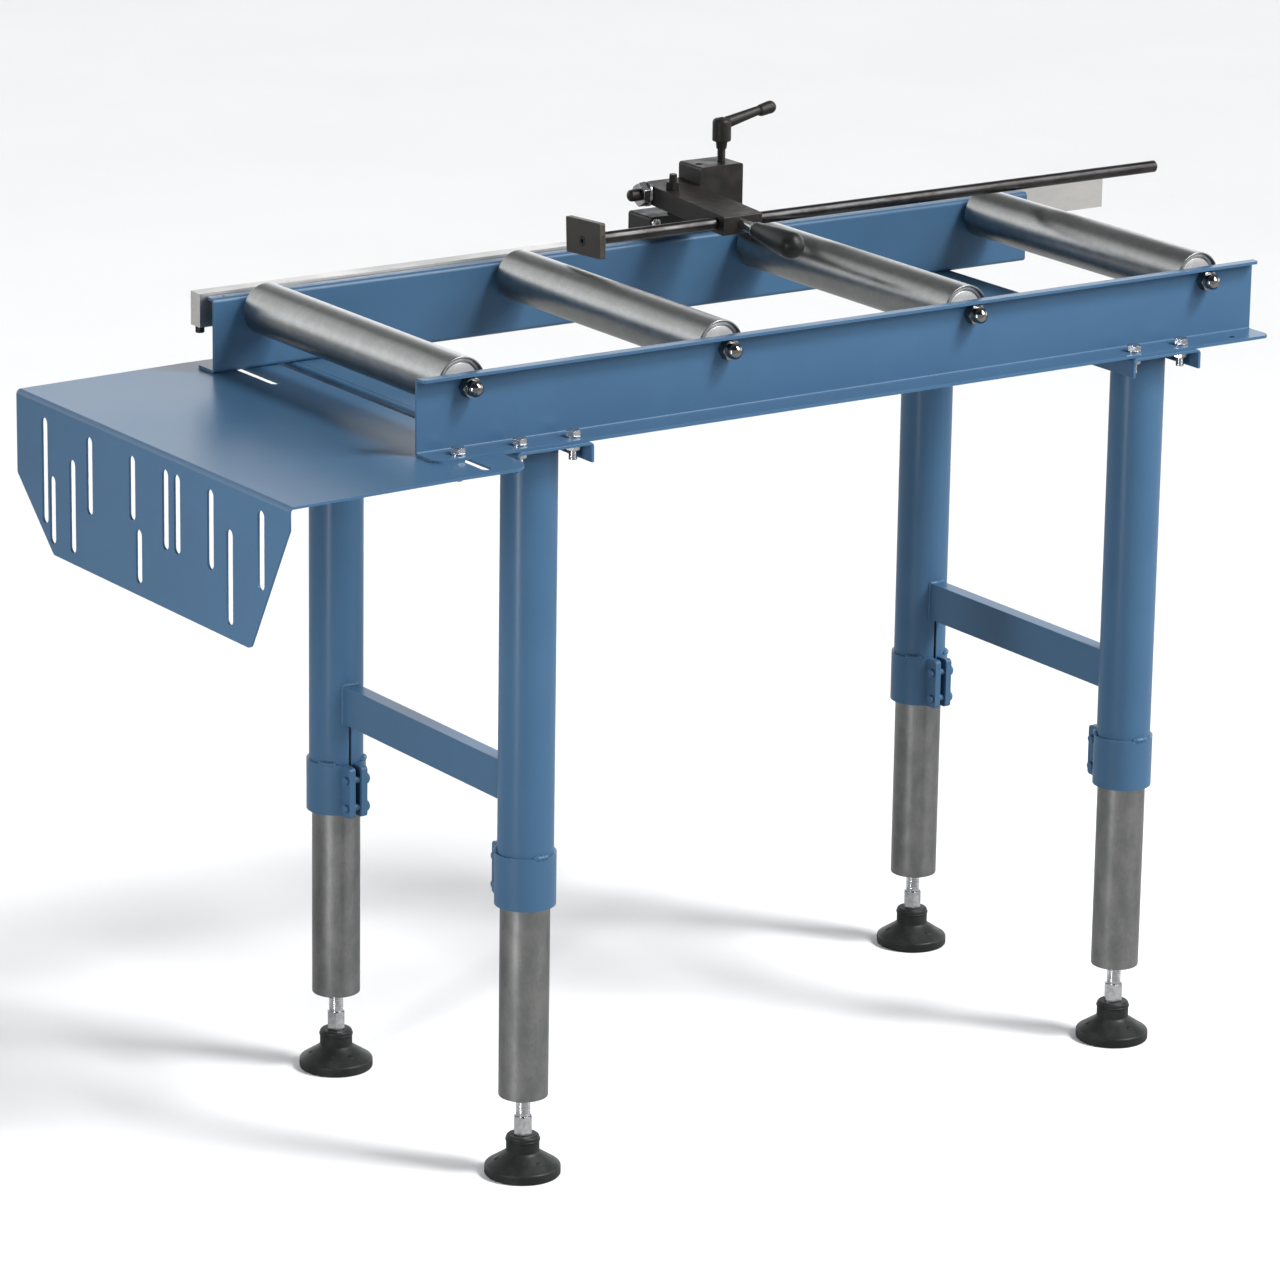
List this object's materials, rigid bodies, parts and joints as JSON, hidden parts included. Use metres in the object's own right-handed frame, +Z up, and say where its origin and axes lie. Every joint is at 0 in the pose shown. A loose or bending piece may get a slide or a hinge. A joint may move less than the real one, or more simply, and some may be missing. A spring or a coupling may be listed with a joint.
{
  "type": "roller stand",
  "caption": "Height-adjustable roller stand with a slotted machine tray and a sliding, flip-up length stop along its back rail.",
  "frame": {"origin": "on the floor, under the middle of the stand's outline", "axes": "+X along the rails from the tray to the free end, +Y from the front rail to the back rail with its stop, +Z up"},
  "size_m": [1.304, 0.517, 0.9449],
  "materials": {
    "blue_paint": "satin enamel over sheet steel",
    "roller_steel": "galvanised steel tube, fine turned grain",
    "housing_steel": "pressed zinc-plated bearing housing",
    "axle_steel": "drawn steel bar",
    "cap_chrome": "polished cap nuts",
    "zinc_fastener": "bright zinc-plated bolts and nuts",
    "black_fastener": "blackened steel screws",
    "leg_zinc": "zinc-plated tube",
    "plug_steel": "turned steel plug",
    "foot_plastic": "moulded black foot",
    "bare_steel": "bare ground flat steel",
    "black_steel": "blackened milled steel",
    "lever_black": "black powder-coated die casting",
    "rod_steel": "dark drawn steel rod",
    "grip_plastic": "black moulded grip"
  },
  "bodies": {
    "frame": {"front_rail": "blue_paint", "back_rail": "blue_paint", "axles": "axle_steel", "axle_nuts": "cap_chrome", "tray": "blue_paint", "tray_bolts": "zinc_fastener", "head_beam_left": "blue_paint", "head_beam_right": "blue_paint", "upper_tube_fl": "blue_paint", "upper_tube_bl": "blue_paint", "upper_tube_fr": "blue_paint", "upper_tube_br": "blue_paint", "cross_bar_left": "blue_paint", "cross_bar_right": "blue_paint", "collar_fl": "blue_paint", "collar_bl": "blue_paint", "collar_fr": "blue_paint", "collar_br": "blue_paint", "collar_screws": "blue_paint", "frame_bolts": "zinc_fastener", "stop_bar": "bare_steel", "bar_spacers": "axle_steel", "bar_screws": "black_fastener"},
    "roller_1": {"roller_tube_1": "roller_steel", "roller_end_1": "housing_steel"},
    "roller_2": {"roller_tube_2": "roller_steel", "roller_end_2": "housing_steel"},
    "roller_3": {"roller_tube_3": "roller_steel", "roller_end_3": "housing_steel"},
    "roller_4": {"roller_tube_4": "roller_steel", "roller_end_4": "housing_steel"},
    "leg_fl": {"inner_tube_fl": "leg_zinc", "tube_plug_fl": "plug_steel"},
    "foot_fl": {"foot_pad_fl": "foot_plastic"},
    "stem_fl": {"foot_stem_fl": "zinc_fastener"},
    "leg_bl": {"inner_tube_bl": "leg_zinc", "tube_plug_bl": "plug_steel"},
    "foot_bl": {"foot_pad_bl": "foot_plastic"},
    "stem_bl": {"foot_stem_bl": "zinc_fastener"},
    "leg_fr": {"inner_tube_fr": "leg_zinc", "tube_plug_fr": "plug_steel"},
    "foot_fr": {"foot_pad_fr": "foot_plastic"},
    "stem_fr": {"foot_stem_fr": "zinc_fastener"},
    "leg_br": {"inner_tube_br": "leg_zinc", "tube_plug_br": "plug_steel"},
    "foot_br": {"foot_pad_br": "foot_plastic"},
    "stem_br": {"foot_stem_br": "zinc_fastener"},
    "slider": {"carriage": "black_steel", "carriage_screw": "zinc_fastener", "pivot_bolt": "black_fastener", "pivot_nut": "zinc_fastener"},
    "lever": {"clamp_lever": "lever_black", "clamp_stud": "black_fastener"},
    "arm": {"stop_arm": "black_steel", "rest_screw": "black_fastener"},
    "rod": {"stop_rod": "rod_steel", "plate_screw": "black_fastener"},
    "plate": {"stop_plate": "black_steel"},
    "hand_grip": {"grip": "grip_plastic", "grip_stud": "zinc_fastener"}
  },
  "joints": [
    {"name": "roller_spin_1", "type": "hinge", "parent": "frame", "child": "roller_1", "pos_m": [-0.4075, 0.0165, 0.8045], "axis": [0, 1, 0], "continuous": true},
    {"name": "roller_spin_2", "type": "hinge", "parent": "frame", "child": "roller_2", "pos_m": [-0.1135, 0.0165, 0.8045], "axis": [0, 1, 0], "continuous": true},
    {"name": "roller_spin_3", "type": "hinge", "parent": "frame", "child": "roller_3", "pos_m": [0.1805, 0.0165, 0.8045], "axis": [0, 1, 0], "continuous": true},
    {"name": "roller_spin_4", "type": "hinge", "parent": "frame", "child": "roller_4", "pos_m": [0.4745, 0.0165, 0.8045], "axis": [0, 1, 0], "continuous": true},
    {"name": "leg_height_fl", "type": "slide", "parent": "frame", "child": "leg_fl", "axis": [0, 0, -1], "range_m": [-0.18, 0.12]},
    {"name": "foot_height_fl", "type": "slide", "parent": "leg_fl", "child": "foot_fl", "axis": [0, 0, -1], "range_m": [-0.014, 0.015]},
    {"name": "stem_turn_fl", "type": "hinge", "parent": "foot_fl", "child": "stem_fl", "pos_m": [-0.3295, -0.1595, 0.0435], "axis": [0, 0, -1], "range_deg": [-2560, 2740]},
    {"name": "leg_height_bl", "type": "slide", "parent": "frame", "child": "leg_bl", "axis": [0, 0, -1], "range_m": [-0.18, 0.12]},
    {"name": "foot_height_bl", "type": "slide", "parent": "leg_bl", "child": "foot_bl", "axis": [0, 0, -1], "range_m": [-0.014, 0.015]},
    {"name": "stem_turn_bl", "type": "hinge", "parent": "foot_bl", "child": "stem_bl", "pos_m": [-0.3295, 0.1925, 0.0435], "axis": [0, 0, -1], "range_deg": [-2560, 2740]},
    {"name": "leg_height_fr", "type": "slide", "parent": "frame", "child": "leg_fr", "axis": [0, 0, -1], "range_m": [-0.18, 0.12]},
    {"name": "foot_height_fr", "type": "slide", "parent": "leg_fr", "child": "foot_fr", "axis": [0, 0, -1], "range_m": [-0.014, 0.015]},
    {"name": "stem_turn_fr", "type": "hinge", "parent": "foot_fr", "child": "stem_fr", "pos_m": [0.4035, -0.1595, 0.0435], "axis": [0, 0, -1], "range_deg": [-2560, 2740]},
    {"name": "leg_height_br", "type": "slide", "parent": "frame", "child": "leg_br", "axis": [0, 0, -1], "range_m": [-0.18, 0.12]},
    {"name": "foot_height_br", "type": "slide", "parent": "leg_br", "child": "foot_br", "axis": [0, 0, -1], "range_m": [-0.014, 0.015]},
    {"name": "stem_turn_br", "type": "hinge", "parent": "foot_br", "child": "stem_br", "pos_m": [0.4035, 0.1925, 0.0435], "axis": [0, 0, -1], "range_deg": [-2560, 2740]},
    {"name": "slider_travel", "type": "slide", "parent": "frame", "child": "slider", "axis": [1, 0, 0], "range_m": [-0.515, 0.48]},
    {"name": "lever_turn", "type": "hinge", "parent": "slider", "child": "lever", "pos_m": [0.1555, 0.2275, 0.8935], "axis": [0, 0, 1], "range_deg": [-45, 90]},
    {"name": "arm_flip", "type": "hinge", "parent": "slider", "child": "arm", "pos_m": [0.094, 0.2375, 0.8603], "axis": [-1, 0, 0], "range_deg": [0, 100]},
    {"name": "rod_slide", "type": "slide", "parent": "arm", "child": "rod", "axis": [1, 0, 0], "range_m": [-0.5, 0.15]},
    {"name": "plate_turn", "type": "hinge", "parent": "rod", "child": "plate", "pos_m": [-0.089, 0.11374, 0.85251], "axis": [1, 0, 0], "range_deg": [-10, 14]},
    {"name": "grip_turn", "type": "hinge", "parent": "arm", "child": "hand_grip", "pos_m": [0.09415, 0.11374, 0.85251], "axis": [0, -0.998, -0.0628], "range_deg": [0, 180]}
  ],
  "couplings": [
    {"joint": "stem_turn_fl", "follows": "foot_height_fl", "rad_per_m": 3141.6},
    {"joint": "stem_turn_bl", "follows": "foot_height_bl", "rad_per_m": 3141.6},
    {"joint": "stem_turn_fr", "follows": "foot_height_fr", "rad_per_m": 3141.6},
    {"joint": "stem_turn_br", "follows": "foot_height_br", "rad_per_m": 3141.6}
  ]
}
